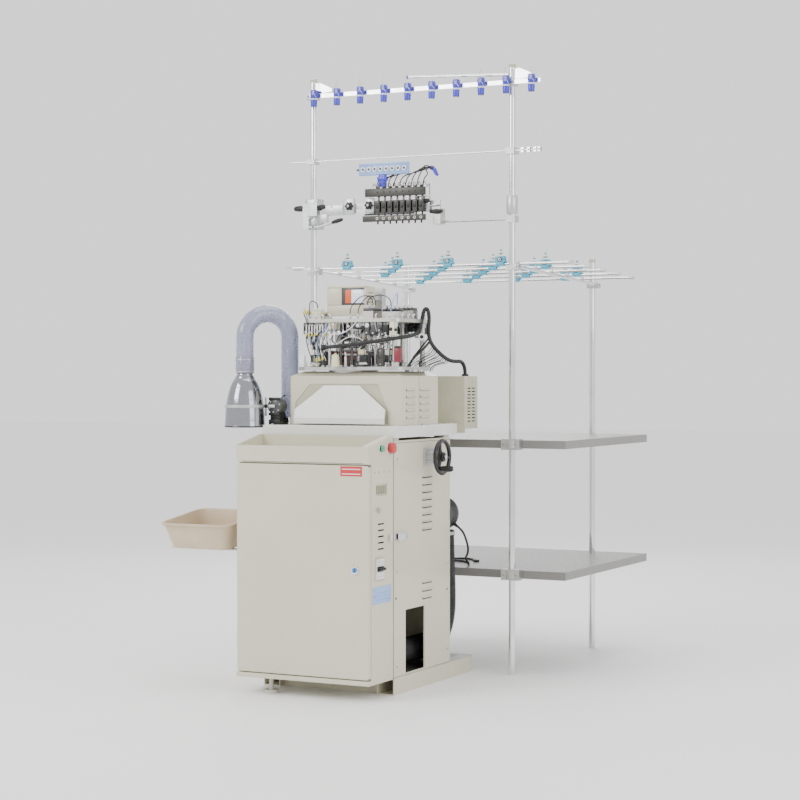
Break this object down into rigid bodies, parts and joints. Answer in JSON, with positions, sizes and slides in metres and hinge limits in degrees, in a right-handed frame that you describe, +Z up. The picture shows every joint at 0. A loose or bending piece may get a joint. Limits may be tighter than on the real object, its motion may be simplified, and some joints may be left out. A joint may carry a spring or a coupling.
{
  "type": "circular_knitting_machine",
  "caption": "Single-cylinder sock knitting machine on a steel base, with a control cabinet, a blown-out sock tube and a yarn creel",
  "frame": {"origin": "On the floor, under the axis of the needle cylinder.", "axes": "+X to the right of someone facing the cabinet door, -Y the front with the door, +Z up."},
  "size_m": [1.2385, 1.6877, 2.229],
  "materials": {
    "enamel": "gloss",
    "grey_enamel": "satin",
    "dark_enamel": "satin",
    "plate_steel": "satin",
    "chrome": "polished",
    "cam_iron": "satin",
    "black_plastic": "matte",
    "blue_plastic": "gloss",
    "cyan_plastic": "gloss",
    "red_plastic": "gloss",
    "green_plastic": "gloss",
    "tan_plastic": "satin",
    "white_plastic": "satin",
    "black_rubber": "matte",
    "tube_fabric": "matte",
    "smoke_shell": "gloss"
  },
  "bodies": {
    "machine": {"base_frame": "grey_enamel", "base_deck": "plate_steel", "columns": "grey_enamel", "side_panel_right": "enamel", "side_panel_left": "enamel", "rear_panel": "enamel", "machine_plate": "enamel", "cabinet_shell": "enamel", "cabinet_brackets": "dark_enamel", "door_hinges": "chrome", "control_panel": "white_plastic", "breaker_block": "white_plastic", "side_fittings": "black_plastic", "latch_base": "chrome", "wheel_bracket": "plate_steel", "hood_shell": "enamel", "hood_bay": "grey_enamel", "hood_scoop": "enamel", "blower": "plate_steel", "suction_hose": "black_rubber", "rear_box": "grey_enamel", "head_bed": "plate_steel", "outlet_tube": "tube_fabric", "cam_ring": "cam_iron", "selector_blocks": "black_plastic", "head_top_plate": "plate_steel", "yarn_fingers": "chrome", "display_mast": "plate_steel", "cable_loom": "black_rubber", "sock_bell": "smoke_shell", "sock_hose": "enamel", "bell_clamp": "dark_enamel", "sock_bin": "tan_plastic", "bin_bracket": "grey_enamel", "poles": "chrome", "shelf_high": "enamel", "shelf_low": "enamel", "creel_clamps": "plate_steel", "creel_grid": "chrome", "yarn_guides": "cyan_plastic", "guide_tensioners": "chrome", "top_rails": "chrome", "tensioners": "blue_plastic", "feeder_rail": "plate_steel", "feeder_unit": "blue_plastic", "clamp_levers": "black_plastic", "cord_gland": "black_plastic", "mains_lead": "black_rubber", "mains_plug": "black_plastic"},
    "door": {"cabinet_door": "enamel"},
    "lock": {"door_lock": "chrome"},
    "toggles": {"breaker_toggles": "black_plastic"},
    "start": {"start_button": "green_plastic"},
    "stop": {"stop_button": "red_plastic"},
    "latch": {"latch_lever": "chrome"},
    "cylinder": {"needle_cylinder": "chrome"},
    "dial_drive": {"dial": "chrome"},
    "wheel": {"handwheel": "chrome"},
    "grip": {"wheel_grip": "black_plastic"},
    "display": {"display_box": "white_plastic"}
  },
  "joints": [
    {"name": "door_swing", "type": "hinge", "parent": "machine", "child": "door", "pos_m": [-0.262, -0.356, 0.435], "axis": [0, 0, -1], "range_deg": [0, 95]},
    {"name": "lock_turn", "type": "hinge", "parent": "door", "child": "lock", "pos_m": [0.205, -0.372, 0.443], "axis": [0, 1, 0], "range_deg": [0, 90]},
    {"name": "breaker_throw", "type": "hinge", "parent": "machine", "child": "toggles", "pos_m": [0.257, -0.2955, 0.443], "axis": [0, 1, 0], "range_deg": [-18, 18]},
    {"name": "start_press", "type": "slide", "parent": "machine", "child": "start", "axis": [-1, 0, 0], "range_m": [0, 0.004], "stiffness_N_per_m": 500},
    {"name": "stop_press", "type": "slide", "parent": "machine", "child": "stop", "axis": [-1, 0, 0], "range_m": [0, 0.004], "stiffness_N_per_m": 500},
    {"name": "latch_throw", "type": "hinge", "parent": "machine", "child": "latch", "pos_m": [0.265, -0.168, 0.542], "axis": [0, 0, -1], "range_deg": [0, 100]},
    {"name": "cylinder_turn", "type": "hinge", "parent": "machine", "child": "cylinder", "pos_m": [0, 0, 1.13], "axis": [0, 0, 1], "continuous": true},
    {"name": "dial_turn", "type": "hinge", "parent": "machine", "child": "dial_drive", "pos_m": [0, 0, 1.24], "axis": [0, 0, 1], "continuous": true},
    {"name": "wheel_turn", "type": "hinge", "parent": "machine", "child": "wheel", "pos_m": [0.29, 0.079, 0.807], "axis": [1, 0, 0], "continuous": true},
    {"name": "grip_spin", "type": "hinge", "parent": "wheel", "child": "grip", "pos_m": [0.345, 0.05147, 0.76768], "axis": [1, 0, 0], "continuous": true},
    {"name": "display_tilt", "type": "hinge", "parent": "machine", "child": "display", "pos_m": [0.044, 0.064, 1.375], "axis": [1, 0, 0], "range_deg": [-8, 8]}
  ],
  "couplings": [
    {"joint": "dial_turn", "follows": "cylinder_turn", "ratio": 1},
    {"joint": "wheel_turn", "follows": "cylinder_turn", "ratio": 1}
  ]
}
